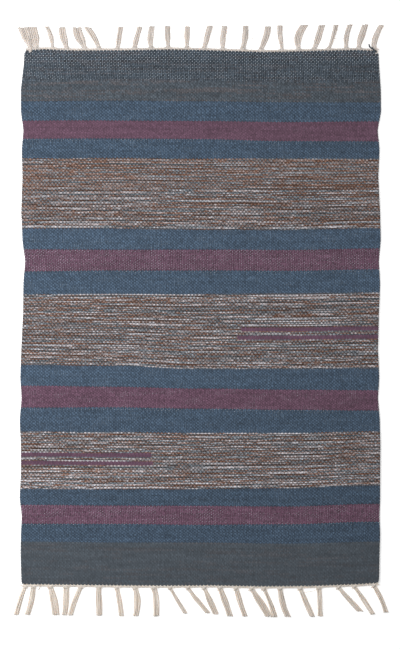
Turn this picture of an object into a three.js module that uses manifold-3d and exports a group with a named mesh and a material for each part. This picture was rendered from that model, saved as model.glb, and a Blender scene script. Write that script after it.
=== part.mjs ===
// A small flat-woven kilim rug lying flat, with its warp ends knotted into a fringe at both ends.
// Sizes are millimetres. +X runs along the weft, +Y points at the far end and +Z is up.
// The rug lies on z = 0 and the origin is under the middle of its bounding box.

import * as THREE from 'three';
import { mergeVertices } from 'three/addons/utils/BufferGeometryUtils.js';
import Module from 'manifold-3d';

const wasm = await Module();
wasm.setup();

// The weft yarns, with how thick the cloth is where each one is woven in.
const YARNS = {
  slate: { color: 0x50575d, thickness: 4.1 },
  blue: { color: 0x475869, thickness: 3.8 },
  plum: { color: 0x654d5d, thickness: 3.5 },
  marl: { color: 0x736968, thickness: 4.5 },
};
const COTTON_COLOR = 0xccc0b5;

// The weft stripes from the far end to the near end. left and right are how far the two selvedges
// stand from the rug's middle line in the middle of the stripe. A long stripe takes two rows.
const STRIPES = [
  { yarn: 'slate', length: 44, left: 297, right: 300 },
  { yarn: 'slate', length: 42.5, left: 302, right: 303 },
  { yarn: 'blue', length: 33, left: 302, right: 303.5 },
  { yarn: 'plum', length: 30, left: 298, right: 298 },
  { yarn: 'blue', length: 33.5, left: 300.5, right: 301 },
  { yarn: 'marl', length: 60, left: 299.5, right: 299 },
  { yarn: 'marl', length: 59, left: 301.5, right: 302 },
  { yarn: 'blue', length: 33.5, left: 299.5, right: 303 },
  { yarn: 'plum', length: 37, left: 295, right: 300 },
  { yarn: 'blue', length: 38.5, left: 298, right: 302 },
  { yarn: 'marl', length: 61, left: 298.5, right: 300 },
  { yarn: 'marl', length: 61.5, left: 301.5, right: 298.5 },
  { yarn: 'blue', length: 33.5, left: 303, right: 300.5 },
  { yarn: 'plum', length: 33.5, left: 301, right: 298.5 },
  { yarn: 'blue', length: 40.5, left: 304, right: 301.5 },
  { yarn: 'marl', length: 47, left: 302, right: 302.5 },
  { yarn: 'marl', length: 47, left: 302, right: 302 },
  { yarn: 'blue', length: 32, left: 304, right: 302 },
  { yarn: 'plum', length: 32, left: 300.5, right: 301 },
  { yarn: 'blue', length: 28.5, left: 302, right: 302 },
  { yarn: 'slate', length: 35, left: 302.5, right: 301 },
  { yarn: 'slate', length: 35.5, left: 301.5, right: 300.5 },
];

// The places across the cloth, and how far its far and near ends run out past a straight line there.
const HALF_WIDTH = 300;
const ACROSS = [
  { x: -300, far: 0, near: -1.5 },
  { x: -270, far: 1.8, near: -1.3 },
  { x: -225, far: -0.3, near: -0.9 },
  { x: -130, far: 0, near: 0.4 },
  { x: -50, far: 1.5, near: 0.8 },
  { x: 20, far: -0.2, near: 0.3 },
  { x: 110, far: -3, near: 2 },
  { x: 190, far: -1.3, near: 1.2 },
  { x: 270, far: 0.5, near: -1.8 },
  { x: 300, far: -1, near: -3.8 },
];
const WAVE_REACH = 70; // how far into the cloth the wave of an end still shows

const SELVEDGE_ROUND = 1; // how much narrower the cloth's faces are than its selvedges, each side
const YARN_CHANGE = 1.5; // half of the length over which the thickness changes between two stripes
// The ends are rounded off: distance from the end, what the far and near corners lose at each selvedge,
// and what both faces lose.
const END_ROUNDING = [
  { from_end: 0, far: 6, near: 3, thinner: 0.9 },
  { from_end: 1, far: 3.5, near: 1.8, thinner: 0 },
  { from_end: 5, far: 0.8, near: 0.5, thinner: 0 },
];

// The heading cord that the warp ends make along each end, its section from the cloth outwards.
const HEADING_GAP = 0.35;
const HEADING_SECTION = [
  { out: 0, z: 0 },
  { out: 3.2, z: 0 },
  { out: 3.2, z: 1.7 },
  { out: 2.5, z: 3 },
  { out: 1.1, z: 3.5 },
  { out: 0, z: 2.4 },
];

// The knotted tassels of each end. at is the knot's place across the rug, lean is how far the tip lies
// to the right of the knot, bow is how far the middle lies right of a straight line, and spread is the
// width of the tip.
const FAR_TASSELS = [
  { at: -286, lean: -13.5, bow: 0, spread: 14 },
  { at: -274.5, lean: -8, bow: 0, spread: 12 },
  { at: -248.5, lean: -9, bow: 1, spread: 6 },
  { at: -225, lean: -8.5, bow: -1.5, spread: 11 },
  { at: -195, lean: -13.5, bow: -3, spread: 11 },
  { at: -171, lean: -19.5, bow: 2, spread: 9 },
  { at: -139.5, lean: 4.5, bow: 0.5, spread: 8 },
  { at: -111, lean: 9, bow: 0, spread: 7.5 },
  { at: -83, lean: 0, bow: -1.5, spread: 8.5 },
  { at: -54.5, lean: -1, bow: -1, spread: 8.5 },
  { at: -23, lean: 1, bow: 0, spread: 8.5 },
  { at: 6, lean: 9, bow: -1, spread: 7 },
  { at: 37, lean: 3, bow: -1, spread: 8.5 },
  { at: 71, lean: 3.5, bow: 2, spread: 9 },
  { at: 101.5, lean: 9.5, bow: 2, spread: 8.5 },
  { at: 136.5, lean: -3, bow: -0.5, spread: 7.5 },
  { at: 164.5, lean: 9.5, bow: -6, spread: 10 },
  { at: 191, lean: 11.5, bow: 0, spread: 8.5 },
  { at: 215.5, lean: 11, bow: 1, spread: 6 },
  { at: 244.5, lean: 8.5, bow: -3.5, spread: 8 },
  { at: 265.5, lean: 13.5, bow: -1, spread: 10 },
  { at: 289.5, lean: 16, bow: -5, spread: 8.5 },
];
const NEAR_TASSELS = [
  { at: -293.5, lean: -16, bow: 0, spread: 7 },
  { at: -280, lean: -11, bow: 2, spread: 8.5 },
  { at: -252, lean: 8.5, bow: 0, spread: 12.5 },
  { at: -226, lean: -2, bow: 0, spread: 8.5 },
  { at: -202, lean: -15, bow: -2, spread: 8 },
  { at: -171, lean: 1.5, bow: 0, spread: 9.5 },
  { at: -140.5, lean: 7.5, bow: 0, spread: 8 },
  { at: -109, lean: 1, bow: 3, spread: 10.5 },
  { at: -79.5, lean: 5, bow: 1.5, spread: 9.5 },
  { at: -51, lean: 27, bow: 0, spread: 6.5 },
  { at: -21, lean: 34, bow: 0, spread: 8 },
  { at: 7, lean: 24, bow: -5, spread: 8 },
  { at: 33.5, lean: 15, bow: -2, spread: 9 },
  { at: 60.5, lean: 15.5, bow: -1.5, spread: 7.5 },
  { at: 87, lean: 25, bow: 0, spread: 12 },
  { at: 107, lean: 22, bow: -1, spread: 8 },
  { at: 133, lean: 14.5, bow: -2, spread: 10 },
  { at: 168, lean: 21.5, bow: -2, spread: 8 },
  { at: 199, lean: 4, bow: 0, spread: 8 },
  { at: 232.5, lean: 42, bow: 0, spread: 8.5 },
  { at: 258, lean: 32, bow: -1, spread: 8 },
  { at: 289.5, lean: 24.5, bow: 0.5, spread: 6 },
];
const FRINGES = {
  far: { direction: 1, reach: 36, tassels: FAR_TASSELS },
  near: { direction: -1, reach: 48, tassels: NEAR_TASSELS },
};

// A knot is a flattened ball on the heading cord. Its middle stands off the cloth and above the floor.
const KNOT = { wide: 5.4, long: 4.8, high: 4.2, out: 3.9, z: 2.3 };

// The strands of a tassel, side by side on the floor, each a ridge with a flat base.
const STRANDS = 5;
const STRAND_WIDTH = 1.35;
const STRAND_GAP = 0.35;
const STRAND_UNEVEN = 1.6; // how much shorter than the longest a strand may be
// Along a strand: share of its length, share of the tassel's spread, height, and base above the floor.
const ROOT_SPREAD = 4.2;
const STRAND_RINGS = [
  { along: 0, spread: 0, height: 1.2, base: 1.2 },
  { along: 0.12, spread: 0.3, height: 2, base: 0 },
  { along: 0.4, spread: 0.75, height: 1.5, base: 0 },
  { along: 0.7, spread: 0.95, height: 1.3, base: 0 },
  { along: 1, spread: 1, height: 0.9, base: 0 },
];

const LENGTH = STRIPES.reduce((sum, stripe) => sum + stripe.length, 0);

// A column of the laid stripes at a distance from the far end, with a soft curve from each stripe's
// middle to the next one's.
function valueAt(stripes, down, column) {
  const next = stripes.findIndex((stripe) => stripe.middle >= down);
  if (next === 0) return stripes[0][column];
  if (next < 0) return stripes.at(-1)[column];
  const [a, b] = [stripes[next - 1], stripes[next]];
  const share = (down - a.middle) / (b.middle - a.middle);
  return a[column] + (b[column] - a[column]) * (0.5 - 0.5 * Math.cos(Math.PI * share));
}

// The stripes with the distance of each one's start, middle and end from the cloth's far end.
function laidStripes() {
  let start = 0;
  return STRIPES.map((stripe) => {
    const laid = { ...stripe, start, middle: start + stripe.length / 2, end: start + stripe.length };
    start = laid.end;
    return laid;
  });
}

// The cloth's rows from the far end to the near end, where its section is given.
function clothRows() {
  const stripes = laidStripes();
  const places = [];
  for (const [i, stripe] of stripes.entries()) {
    places.push({ down: stripe.middle, yarn: stripe.yarn });
    if (i > 0 && stripes[i - 1].yarn !== stripe.yarn) {
      places.push({ down: stripe.start - YARN_CHANGE, yarn: stripes[i - 1].yarn });
      places.push({ down: stripe.start + YARN_CHANGE, yarn: stripe.yarn });
    }
  }
  for (const { from_end, far, near, thinner } of END_ROUNDING) {
    places.push({ down: from_end, yarn: stripes[0].yarn, narrower: far, thinner });
    places.push({ down: LENGTH - from_end, yarn: stripes.at(-1).yarn, narrower: near, thinner });
  }
  places.sort((a, b) => a.down - b.down);
  return places.map(({ down, yarn, narrower = 0, thinner = 0 }) => ({
    down,
    yarn,
    left: valueAt(stripes, down, 'left') - narrower,
    right: valueAt(stripes, down, 'right') - narrower,
    low: thinner,
    high: YARNS[yarn].thickness - thinner,
  }));
}

// A point of the cloth's face in one row, at a place of ACROSS.
function facePoint(row, place, inset, z) {
  const half = (place.x < 0 ? row.left : row.right) - inset;
  const far_share = Math.max(0, 1 - row.down / WAVE_REACH);
  const near_share = Math.max(0, 1 - (LENGTH - row.down) / WAVE_REACH);
  const y = LENGTH / 2 - row.down + place.far * far_share - place.near * near_share;
  return new THREE.Vector3((place.x / HALF_WIDTH) * half, y, z);
}

// Turns triangles, each three points, into a geometry with shared points.
function geometryOf(points, triangles) {
  const geometry = new THREE.BufferGeometry();
  geometry.setAttribute('position', new THREE.Float32BufferAttribute(points.flatMap((p) => p.toArray()), 3));
  geometry.setIndex(triangles.flat());
  return geometry;
}

// Joins rings of equal length into one closed skin, with a flat end given by its triangles.
function skin(rings, cap) {
  const count = rings[0].length;
  const triangles = [];
  for (let r = 0; r + 1 < rings.length; r++) {
    for (let i = 0; i < count; i++) {
      const [a, b] = [r * count + i, r * count + ((i + 1) % count)];
      triangles.push([a, b, b + count], [a, b + count, a + count]);
    }
  }
  const last = (rings.length - 1) * count;
  for (const [a, b, c] of cap) {
    triangles.push([c, b, a], [last + a, last + b, last + c]);
  }
  return geometryOf(rings.flat(), triangles);
}

// The woven cloth: a flat base, a face that is thicker where the yarn is, and round selvedges.
function wovenCloth() {
  const rows = clothRows();
  const count = ACROSS.length;
  const rings = rows.map((row) => {
    const middle = (row.low + row.high) / 2;
    const top = ACROSS.map((place) => facePoint(row, place, SELVEDGE_ROUND, row.high));
    const base = ACROSS.map((place) => facePoint(row, place, SELVEDGE_ROUND, row.low));
    const left = facePoint(row, ACROSS[0], 0, middle);
    const right = facePoint(row, ACROSS.at(-1), 0, middle);
    return [left, ...base, right, ...top.reverse()];
  });
  const cap = [[0, 1, 2 * count + 1], [count, count + 1, count + 2]];
  for (let i = 1; i < count; i++) {
    const across = 2 * count + 2 - i;
    cap.push([i, i + 1, across - 1], [i, across - 1, across]);
  }
  const geometry = skin(rings, cap);
  const colors = rows.flatMap(({ yarn }) => {
    const rgb = new THREE.Color(YARNS[yarn].color).toArray();
    return Array(rings[0].length).fill(rgb).flat();
  });
  geometry.setAttribute('color', new THREE.Float32BufferAttribute(colors, 3));
  return geometry;
}

// A ring's cap when its points go round a convex section.
function fan(count) {
  return Array.from({ length: count - 2 }, (_, i) => [0, i + 1, i + 2]);
}

// The line in which the cloth ends, as points from left to right.
function endLine(direction) {
  const rows = clothRows();
  const row = direction > 0 ? rows[0] : rows.at(-1);
  return ACROSS.map((place) => facePoint(row, place, SELVEDGE_ROUND, 0));
}

function heading(line, direction) {
  const rings = line.map(({ x, y }) => {
    const ring = HEADING_SECTION.map(({ out, z }) => {
      return new THREE.Vector3(x, y + direction * (HEADING_GAP + out), z);
    });
    return direction > 0 ? ring.reverse() : ring;
  });
  return skin(rings.reverse(), fan(HEADING_SECTION.length));
}

function knot(x, y) {
  const ball = new THREE.SphereGeometry(0.5, 6, 4);
  ball.rotateX(Math.PI / 2);
  ball.scale(KNOT.wide, KNOT.long, KNOT.high);
  ball.translate(x, y, KNOT.z);
  return ball;
}

// The middle line of a tassel at a share of its reach, on the floor.
function tasselPoint(tassel, root, fringe, share) {
  const x = root.x + tassel.lean * share + tassel.bow * 4 * share * (1 - share);
  return new THREE.Vector2(x, root.y + fringe.direction * fringe.reach * share);
}

// One strand of a tassel, side counted from its left at 0 to its right at 1.
function strand(tassel, root, fringe, side, shorter) {
  const rings = STRAND_RINGS.map((ring) => {
    const share = ring.along * (1 - shorter / fringe.reach);
    const spread = ROOT_SPREAD + (tassel.spread - ROOT_SPREAD) * ring.spread;
    const width = Math.min(STRAND_WIDTH, (spread + STRAND_GAP) / STRANDS - STRAND_GAP);
    const middle = tasselPoint(tassel, root, fringe, share);
    const ahead = tasselPoint(tassel, root, fringe, share + 0.01).sub(middle).normalize();
    const across = new THREE.Vector2(ahead.y, -ahead.x).multiplyScalar(fringe.direction);
    const at = (offset, z) => {
      const point = across.clone().multiplyScalar(offset).add(middle);
      return new THREE.Vector3(point.x, point.y, z);
    };
    const offset = (side - 0.5) * (spread - width);
    return [
      at(offset - width / 2, ring.base),
      at(offset, ring.base + ring.height),
      at(offset + width / 2, ring.base),
    ];
  });
  if (fringe.direction < 0) rings.reverse();
  return skin(rings, [[0, 1, 2]]);
}

// Turns a closed mesh into a solid and back.
function solid(geometry) {
  const bare = geometry.clone();
  for (const name of Object.keys(bare.attributes)) {
    if (name !== 'position') bare.deleteAttribute(name);
  }
  const merged = mergeVertices(bare, 1e-4);
  const mesh = new wasm.Mesh({
    numProp: 3,
    vertProperties: Float32Array.from(merged.attributes.position.array),
    triVerts: Uint32Array.from(merged.index.array),
  });
  return new wasm.Manifold(mesh);
}

function geometryFrom(manifold) {
  const { vertProperties, triVerts } = manifold.getMesh();
  const geometry = new THREE.BufferGeometry();
  geometry.setAttribute('position', new THREE.BufferAttribute(Float32Array.from(vertProperties), 3));
  geometry.setIndex(new THREE.BufferAttribute(Uint32Array.from(triVerts), 1));
  return geometry;
}

// A fringe: the heading cord with its knots and the strands that hang from them, all in one.
function warpFringe(fringe) {
  const line = endLine(fringe.direction);
  const pieces = [heading(line, fringe.direction)];
  for (const [t, tassel] of fringe.tassels.entries()) {
    const next = Math.max(1, line.findIndex((point) => point.x > tassel.at));
    const [a, b] = [line[next - 1], line[next]];
    const edge = a.y + ((b.y - a.y) * (tassel.at - a.x)) / (b.x - a.x);
    const root = new THREE.Vector2(tassel.at, edge + fringe.direction * KNOT.out);
    pieces.push(knot(root.x, root.y));
    for (let s = 0; s < STRANDS; s++) {
      const shorter = STRAND_UNEVEN * (0.5 + 0.5 * Math.sin(2.4 * s + 1.7 * t));
      pieces.push(strand(tassel, root, fringe, s / (STRANDS - 1), shorter));
    }
  }
  const [first, ...others] = pieces.map(solid);
  return geometryFrom(others.reduce((whole, piece) => whole.add(piece), first));
}

function named(name, geometry, material) {
  const mesh = new THREE.Mesh(geometry, material);
  mesh.name = name;
  return mesh;
}

const weft = new THREE.MeshStandardMaterial({ vertexColors: true, roughness: 0.95, metalness: 0 });
const cotton = new THREE.MeshStandardMaterial({ color: COTTON_COLOR, roughness: 0.95, metalness: 0 });

const rug = new THREE.Group();
rug.add(
  named('woven_cloth', wovenCloth(), weft),
  named('far_fringe', warpFringe(FRINGES.far), cotton),
  named('near_fringe', warpFringe(FRINGES.near), cotton.clone()),
);
const middle = new THREE.Box3().setFromObject(rug).getCenter(new THREE.Vector3());
rug.position.set(-middle.x, -middle.y, 0);

export default rug;
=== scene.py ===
"""A flat-woven kilim rug with knotted warp fringes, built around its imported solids.

The cloth is a relief of every crossing of warp and weft, in one piece for each run of stripes of one
yarn. The tassels, knots and heading cords are twisted yarns. The tables of the rug's parts and all
names that end in _MM are in millimetres, and all other lengths are in metres.
"""

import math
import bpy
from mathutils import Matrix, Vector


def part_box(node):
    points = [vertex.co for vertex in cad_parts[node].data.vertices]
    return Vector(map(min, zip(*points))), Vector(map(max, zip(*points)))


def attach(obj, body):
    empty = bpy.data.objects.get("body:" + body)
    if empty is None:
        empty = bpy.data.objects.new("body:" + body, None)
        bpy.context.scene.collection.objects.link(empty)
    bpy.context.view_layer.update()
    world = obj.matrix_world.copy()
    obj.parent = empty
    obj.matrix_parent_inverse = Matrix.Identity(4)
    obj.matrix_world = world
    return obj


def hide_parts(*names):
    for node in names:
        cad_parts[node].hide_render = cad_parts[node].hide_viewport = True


bl_info = {
    "name": "Kilim Rug",
    "version": (1, 0, 0),
    "blender": (4, 5, 0),
    "location": "View3D > Sidebar > Kilim",
    "description": "Weaves a striped kilim rug and knots its fringes",
    "category": "Object",
}

from functools import partial

import bpy
import numpy as np
from bpy.props import FloatProperty, FloatVectorProperty, IntProperty, PointerProperty
from bpy.types import Operator, Panel, PropertyGroup
from mathutils import Vector
from mathutils.bvhtree import BVHTree

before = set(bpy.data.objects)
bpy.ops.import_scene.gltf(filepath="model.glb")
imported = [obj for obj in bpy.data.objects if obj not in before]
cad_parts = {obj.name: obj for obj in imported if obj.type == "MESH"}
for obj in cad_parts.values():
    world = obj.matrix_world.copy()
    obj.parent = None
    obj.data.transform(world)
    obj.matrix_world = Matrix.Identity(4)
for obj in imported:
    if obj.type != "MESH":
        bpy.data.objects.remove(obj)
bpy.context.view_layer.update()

MM = 0.001
WHITE = (1.0, 1.0, 1.0)

# The photo's frame: its size in pixels, the real width that it takes in, and where its middle lies from
# the middle of the cloth.
PHOTO_WIDE_PX = 400
PHOTO_HIGH_PX = 649
PHOTO_WIDE_MM = 672.0
PHOTO_MIDDLE_MM = (-0.9, -11.5)

# How the cloth stands to its own straight lines: its middle line lies this far right of the left-most
# selvedge, and its far end's line this far below the end's highest point.
MIDDLE_FROM_LEFT_MM = 304.0
FAR_LINE_BELOW_MM = 1.8

# Each yarn's distance from pick to pick, the cloth's thickness in it, the depth of its relief, and how
# deep its colour is painted in the hollows of the loosest weave, as painted shade, and on the crests
# beside the barest warps.
YARNS = {
    "slate": {"pick": 2.7, "thick": 4.1, "relief": 1.0, "hollow": 1.8, "crest": 1.5},
    "blue": {"pick": 2.45, "thick": 3.8, "relief": 0.9, "hollow": 1.75, "crest": 1.15},
    "plum": {"pick": 2.15, "thick": 3.5, "relief": 0.8, "hollow": 1.35, "crest": 1.1},
    "marl": {"pick": 3.4, "thick": 4.5, "relief": 1.15, "hollow": 1.95, "crest": 0.95},
}

# The stripes from the far end on: length, how loosely the weft is beaten, how much of the warp shows
# between the floats, how often the marl turns light or brown is spun into the slate, how light the dye
# lot is, and how far the near edge lies above a straight line at the five places of RISE_AT.
RISE_AT = (-290, -145, 0, 145, 290)
STRIPE_COLUMNS = ("yarn", "length", "speck", "bare", "light", "tone", "rise")
STRIPE_ROWS = [
    ("slate", 20.1, 1.0, 0.98, 0.2, 2.04, (0, 0.5, 0, -1, -1)),
    ("slate", 32.0, 0.8, 0.74, 0.18, 1.77, (0.5, 1, 0.5, -1, -1)),
    ("slate", 34.0, 0.34, 0.25, 0.3, 0.96, (0.5, 1.5, 0.5, -1, -1.5)),
    ("blue", 32.9, 0.4, 0.28, 0, 1.0, (1, 1, 0, -1.5, -0.5)),
    ("plum", 31.1, 0.25, 0.2, 0, 0.95, (1.5, 2, 1, -2.5, -3)),
    ("blue", 31.6, 0.4, 0.28, 0, 0.98, (0, 1, -0.5, 0, -0.5)),
    ("marl", 51.0, 0.45, 0, 0.0, 1.0, (0.5, 0.5, 0, -0.5, 0)),
    ("marl", 66.8, 0.5, 0, 0.62, 0.92, (0.5, 0.5, -1.5, -2, 1)),
    ("blue", 34.9, 0.4, 0.3, 0, 1.04, (0, -0.5, -0.5, -1, 1.5)),
    ("plum", 35.3, 0.7, 0.75, 0, 1.09, (-1.5, 0, 0, -0.5, 2)),
    ("blue", 39.1, 0.4, 0.28, 0, 1.04, (-1, -0.5, -1, 0, 2)),
    ("marl", 123.8, 0.5, 0, 0.8, 0.91, (5, 3, -2.5, -2.5, -1)),
    ("blue", 34.9, 0.38, 0.27, 0, 1.05, (4.5, 2.5, -0.5, -2.5, -3.5)),
    ("plum", 34.3, 0.42, 0.36, 0, 1.04, (2, 2.5, 0, -2, -3)),
    ("blue", 39.6, 0.38, 0.27, 0, 1.01, (1, 0, -1, -1, 1.5)),
    ("marl", 57.8, 0.5, 0, 0.76, 0.98, (0, -1, -1, 0, 4)),
    ("marl", 35.9, 0.5, 0, 0.84, 1.12, (-1, -2, -1.5, 0, 5.5)),
    ("blue", 28.9, 0.38, 0.26, 0, 1.0, (1, -0.5, -1, -2, 2.5)),
    ("plum", 30.6, 0.7, 0.7, 0, 1.3, (0, -0.5, -2, -1, 3)),
    ("blue", 31.8, 0.35, 0.2, 0, 1.03, (1.5, 0, 0, -2, 1.5)),
    ("slate", 71.4, 0.15, 0.05, 0.15, 0.92, (0, 0, 0, 0, 0)),
]
STRIPES = [{**YARNS[row[0]], **dict(zip(STRIPE_COLUMNS, row))} for row in STRIPE_ROWS]
PICKS = [round(stripe["length"] / stripe["pick"]) for stripe in STRIPES]

# What the cloth's mesh tells its material of a stripe, and what it tells of a streak, which is beaten
# tight.
STRIPE_FACTS = ("speck", "bare", "light", "tone")
STREAK_FACTS = {"speck": 0.0, "bare": 0.0, "light": 0.0, "tone": 1.0}

# How much oftener the marl turns light in the outermost picks of a light stripe of it, and how much of
# the warp shows between the first two picks of blue after plum.
EDGE_LIGHT = 0.45
EDGE_BARE = 0.75

# Streaks, which are short rows of plum that the weaver laid into the marl: distance from the far end,
# number of picks, and from where to where they run, as distances right of the cloth's middle.
STREAKS = [
    {"down": 463.0, "picks": 2, "left": 68, "right": 400},
    {"down": 475.5, "picks": 2, "left": 62, "right": 400},
    {"down": 675.0, "picks": 2, "left": -400, "right": -82},
    {"down": 688.5, "picks": 2, "left": -400, "right": -80},
]

# The knotted tassels of each end. at is the knot's place across the rug, lean is how far the tip lies
# to the right of the knot, and bow how far the middle lies right of a straight line. root and spread are
# the widths at the knot and at the tip, which parts into locks and stops short of the others by trim.
TASSEL_COLUMNS = ("at", "lean", "bow", "root", "spread", "locks", "trim")
FAR_TASSELS = [
    (-286, -13, 0, 8, 17, 1, 1),
    (-276.5, -7.5, 0.5, 8.5, 17.5, 1, 1),
    (-249, -9.5, 2.5, 5, 8.5, 2, 1),
    (-225, -7.5, -1, 7.5, 12.5, 2, 0.5),
    (-195, -12.5, -1.5, 8.5, 17, 2, 0.5),
    (-171, -19.5, 2, 7.5, 12, 1, 0.5),
    (-139.5, 5, 0.5, 6.5, 9.5, 1, 0),
    (-111, 9, 0, 7.5, 9, 1, 0),
    (-83, 1, -2, 7, 10, 1, 0),
    (-54.5, -1, -0.5, 6.5, 9.5, 1, 0),
    (-23, 1, 0, 6.5, 9, 1, 0),
    (6, 10, 0, 7.5, 10, 1, -1.5),
    (37, 3.5, -1, 6.5, 9.5, 1, -2),
    (71, 4.5, 2, 9, 10.5, 2, -3.5),
    (101.5, 11.5, 2, 7.5, 10.5, 1, -3.5),
    (136.5, -3, -0.5, 5.5, 9, 1, -5),
    (164.5, 10, -5, 7, 13, 1, -4.5),
    (191, 13, 0.5, 7.5, 12.5, 2, -4.5),
    (215.5, 12, 1, 6.5, 8.5, 1, -4),
    (244.5, 6.5, -2, 6.5, 9.5, 1, -4),
    (265.5, 11, -1, 7, 11.5, 2, -3.5),
    (291.5, 12, -3, 8, 9.5, 1, -4.5),
]
NEAR_TASSELS = [
    (-294.5, -15, -0.5, 6.5, 8.5, 1, 0),
    (-281, -10, 2, 8.5, 9.5, 1, 0),
    (-252, 9, 1, 8.5, 12.5, 1, 0),
    (-225.5, -3, 1, 9.5, 9.5, 1, 0),
    (-201.5, -17, -1, 7.5, 9.5, 2, 0),
    (-170.5, 0.5, -0.5, 8.5, 10, 1, 0),
    (-140.5, 7.5, 0.5, 7, 9, 1, 0),
    (-110, 1, 3.5, 8.5, 11, 2, 0),
    (-78.5, 4, 1.5, 9.5, 10, 1, 0),
    (-51, 25.5, 0, 6, 7, 1, 4.5),
    (-21, 33, -1, 6.5, 9, 1, 5),
    (6, 19.5, 0.5, 7, 11, 2, 3),
    (32.5, 17, 0.5, 8.5, 10.5, 1, 0),
    (59.5, 15, 0, 7.5, 9, 1, 0),
    (85.5, 29, 0.5, 9, 14, 3, 0),
    (106.5, 18.5, 1, 7.5, 8.5, 1, 0),
    (133.5, 13, -2, 8, 11, 1, 0),
    (167, 20.5, -0.5, 8, 9.5, 1, 0),
    (198.5, 2.5, 0.5, 8.5, 9.5, 1, 0),
    (231.5, 36.5, 0, 7, 11, 1, 7),
    (258, 31, 1, 6.5, 9, 2, 1),
    (291, 20.5, 2, 7, 8.5, 1, 2),
]
# The two fringes: which way along y they run, how far the tips lie from the knots, how many rings a
# yarn is drawn with, the tassels, and what starts the random draws.
FRINGES = {
    "far": {"direction": 1, "reach": 36.0, "rings": 32, "tassels": FAR_TASSELS, "seed": 5},
    "near": {"direction": -1, "reach": 48.0, "rings": 40, "tassels": NEAR_TASSELS, "seed": 6},
}

# A tassel's yarns: how many lie on the floor at least, how far apart those lie at the tip, and how much
# of its share of the width a lock takes up.
FEWEST_BELOW = 4
TIP_PITCH_MM = 1.65
LOCK_FILLS = 0.74

# Stray yarns and threads at the two ends, each with its thickness and the points of its path. A point
# is a distance right of the cloth's middle, a distance out from its end and a height.
LOOSE_WEFT_END = [
    (2.6, [(282.4, 10.1, 4.6), (284.2, 5.4, 5.2), (288.4, 2.8, 5.2), (292.6, -1.4, 4.9), (295, -4, 3.0)]),
]
FAR_LOOSE_ENDS = [
    (2.0, [(-286.5, -4.0, 3.4), (-286.6, -2.2, 4.6), (-286.2, 1.5, 4.6), (-287.2, 8, 3.8), (-291, 18, 3.5)]),
    (1.8, [(-284.5, -3.2, 3.6), (-284.7, -1.6, 4.6), (-284.3, 2, 4.6), (-284.5, 8, 3.8), (-286, 18, 3.5)]),
    (1.6, [(293.5, 4.5, 3.4), (296.6, 2.6, 3.4), (297.8, -0.4, 3.2), (296.4, -3.6, 4.4), (293.4, -4.2, 3.2)]),
    (0.6, [(75, 33.5, 2.2), (84, 34.6, 1.4), (91, 33.2, 0.6), (96.5, 32.6, 0.4)]),
    (0.6, [(74, 22.5, 2.6), (84, 22.2, 1.4), (91, 21.0, 0.6), (96.5, 21.6, 0.4)]),
    (0.6, [(224, 33.0, 2.2), (231, 34.4, 1.4), (238, 33.0, 1.0), (247, 31.5, 2.4)]),
    (0.6, [(223, 27.0, 2.2), (230, 27.4, 1.4), (237, 26.2, 1.0), (246, 27.0, 2.4)]),
    (0.6, [(222, 20.0, 2.4), (230, 20.3, 1.4), (237, 19.6, 1.0), (245, 21.5, 2.4)]),
]
NEAR_LOOSE_ENDS = [
    (0.7, [(168, 12.5, 3.4), (176, 10.4, 1.2), (186, 8.8, 1.2), (197, 5.4, 3.4)]),
    (1.5, [(-268.4, 2.0, 4.3), (-269.6, 4.6, 3.8), (-271.0, 7.0, 1.6), (-272.6, 8.8, 0.9)]),
]
LOOSE_ENDS = [
    {"name": "loose_weft_end", "end": "far", "node": "woven_cloth", "threads": LOOSE_WEFT_END},
    {"name": "far_loose_ends", "end": "far", "node": "far_fringe", "threads": FAR_LOOSE_ENDS},
    {"name": "near_loose_ends", "end": "near", "node": "near_fringe", "threads": NEAR_LOOSE_ENDS},
]


def linear(text):
    """An sRGB colour such as "50575D" as linear red, green and blue."""
    parts = [int(text[i : i + 2], 16) / 255 for i in (0, 2, 4)]
    return tuple(p / 12.92 if p <= 0.04045 else ((p + 0.055) / 1.055) ** 2.4 for p in parts)


def colour_property(name, description, text):
    """A property for a colour, with an sRGB colour as its default."""
    return FloatVectorProperty(name=name, description=description, subtype="COLOR", default=linear(text))


def length_property(name, description, metres):
    """A property for a length."""
    return FloatProperty(name=name, description=description, unit="LENGTH", default=metres)


class KilimWeave(PropertyGroup):
    warps: IntProperty(
        name="Warps",
        description="Number of warp ends across the cloth",
        default=197,
        min=20,
    )
    most_picks: IntProperty(
        name="Most picks",
        description="Picks of one yarn that are woven into one piece at most",
        default=75,
        min=10,
    )
    closed_swell: FloatProperty(
        name="Closed swell",
        description="How far a float spreads over its neighbours where the weft is beaten tight",
        default=0.34,
        subtype="FACTOR",
    )
    open_swell: FloatProperty(
        name="Open swell",
        description="How far a float spreads over its neighbours where the warp shows",
        default=0.16,
        subtype="FACTOR",
    )
    selvedge: length_property("Selvedge", "How far the turned weft stands out past the flat face", 0.0010)
    wander: length_property("Pick wander", "How far a pick strays from an even curve", 0.00025)


class KilimFringe(PropertyGroup):
    yarn: length_property("Yarn", "Diameter of a plied warp yarn", 0.0019)
    twist: length_property("Twist", "Length over which the two plies turn once round each other", 0.0085)
    cord: length_property("Heading strand", "Diameter of one of the two strands of the heading cord", 0.0020)
    gap: length_property("Heading gap", "Gap between the cloth's end and the heading cord", -0.0002)
    knot_out: length_property("Knot distance", "How far the middle of a knot stands off the cloth", 0.0039)
    knot_height: length_property("Knot height", "Height of the middle of a knot above the floor", 0.0023)


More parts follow.
